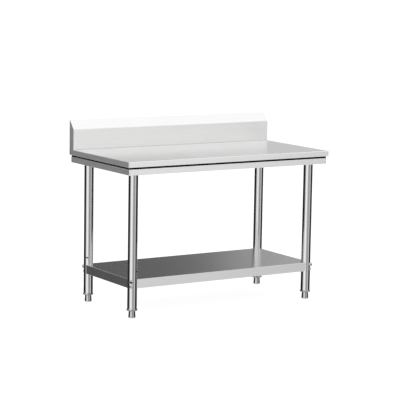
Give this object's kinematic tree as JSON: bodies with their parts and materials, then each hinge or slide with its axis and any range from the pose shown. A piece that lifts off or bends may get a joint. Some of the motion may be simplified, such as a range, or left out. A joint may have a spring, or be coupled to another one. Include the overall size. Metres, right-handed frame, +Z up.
{
  "type": "stainless work table",
  "caption": "Stainless steel kitchen work table with raised bevelled backsplash, folded undershelf, round tube legs and screw-adjustable levelling feet.",
  "frame": {"origin": "on the floor, below the centre of the table's bounding box, feet screwed fully in", "axes": "+X along the length, to the right as seen from the front; +Y to the backsplash; +Z up"},
  "size_m": [1.2, 0.614, 0.9411],
  "materials": {
    "sheet_steel": "fine linear brushed stainless sheet",
    "tube_steel": "polished stainless tube",
    "collar_steel": "turned and polished",
    "foot_steel": "spun and polished",
    "fastener_steel": "bright stainless fastener",
    "hidden_steel": "mill finish folded steel",
    "strip_rubber": "cellular rubber strip",
    "glide_nylon": "moulded black nylon"
  },
  "bodies": {
    "root": {"worktop_sheet": "sheet_steel", "backsplash_end_cap_left": "sheet_steel", "backsplash_end_cap_right": "sheet_steel", "top_stiffener_left": "hidden_steel", "top_stiffener_centre": "hidden_steel", "top_stiffener_right": "hidden_steel", "frame_front_rail": "sheet_steel", "frame_rear_rail": "sheet_steel", "frame_left_rail": "sheet_steel", "frame_right_rail": "sheet_steel", "frame_cross_rail_left": "hidden_steel", "frame_cross_rail_right": "hidden_steel", "spacer_strip_front": "strip_rubber", "spacer_strip_rear": "strip_rubber", "spacer_strip_left": "strip_rubber", "spacer_strip_right": "strip_rubber", "frame_bolts": "fastener_steel", "frame_nuts": "fastener_steel", "leg_socket_fl": "hidden_steel", "leg_fl": "tube_steel", "leg_socket_fr": "hidden_steel", "leg_fr": "tube_steel", "leg_socket_rl": "hidden_steel", "leg_rl": "tube_steel", "leg_socket_rr": "hidden_steel", "leg_rr": "tube_steel", "socket_grub_screws": "hidden_steel", "undershelf_sheet": "sheet_steel", "undershelf_stiffener": "hidden_steel", "shelf_bracket_fl": "hidden_steel", "shelf_bracket_fr": "hidden_steel", "shelf_bracket_rl": "hidden_steel", "shelf_bracket_rr": "hidden_steel", "shelf_bolts": "fastener_steel", "shelf_washers": "fastener_steel", "shelf_nuts": "fastener_steel", "shelf_locating_screws": "fastener_steel", "foot_insert_fl": "collar_steel", "foot_insert_fr": "collar_steel", "foot_insert_rl": "collar_steel", "foot_insert_rr": "collar_steel"},
    "glide_fl": {"foot_pad_fl": "glide_nylon"},
    "foot_fl": {"foot_stud_fl": "fastener_steel", "foot_cup_fl": "foot_steel"},
    "glide_fr": {"foot_pad_fr": "glide_nylon"},
    "foot_fr": {"foot_stud_fr": "fastener_steel", "foot_cup_fr": "foot_steel"},
    "glide_rl": {"foot_pad_rl": "glide_nylon"},
    "foot_rl": {"foot_stud_rl": "fastener_steel", "foot_cup_rl": "foot_steel"},
    "glide_rr": {"foot_pad_rr": "glide_nylon"},
    "foot_rr": {"foot_stud_rr": "fastener_steel", "foot_cup_rr": "foot_steel"}
  },
  "joints": [
    {"name": "foot_travel_fl", "type": "slide", "parent": "root", "child": "glide_fl", "axis": [0, 0, -1], "range_m": [0, 0.02]},
    {"name": "foot_turn_fl", "type": "hinge", "parent": "glide_fl", "child": "foot_fl", "pos_m": [-0.527, -0.227, 0.02], "axis": [0, 0, -1], "range_deg": [0, 4115]},
    {"name": "foot_travel_fr", "type": "slide", "parent": "root", "child": "glide_fr", "axis": [0, 0, -1], "range_m": [0, 0.02]},
    {"name": "foot_turn_fr", "type": "hinge", "parent": "glide_fr", "child": "foot_fr", "pos_m": [0.527, -0.227, 0.02], "axis": [0, 0, -1], "range_deg": [0, 4115]},
    {"name": "foot_travel_rl", "type": "slide", "parent": "root", "child": "glide_rl", "axis": [0, 0, -1], "range_m": [0, 0.02]},
    {"name": "foot_turn_rl", "type": "hinge", "parent": "glide_rl", "child": "foot_rl", "pos_m": [-0.527, 0.229, 0.02], "axis": [0, 0, -1], "range_deg": [0, 4115]},
    {"name": "foot_travel_rr", "type": "slide", "parent": "root", "child": "glide_rr", "axis": [0, 0, -1], "range_m": [0, 0.02]},
    {"name": "foot_turn_rr", "type": "hinge", "parent": "glide_rr", "child": "foot_rr", "pos_m": [0.527, 0.229, 0.02], "axis": [0, 0, -1], "range_deg": [0, 4115]}
  ],
  "couplings": [
    {"joint": "foot_turn_fl", "follows": "foot_travel_fl", "rad_per_m": 3590.4},
    {"joint": "foot_turn_fr", "follows": "foot_travel_fr", "rad_per_m": 3590.4},
    {"joint": "foot_turn_rl", "follows": "foot_travel_rl", "rad_per_m": 3590.4},
    {"joint": "foot_turn_rr", "follows": "foot_travel_rr", "rad_per_m": 3590.4}
  ]
}
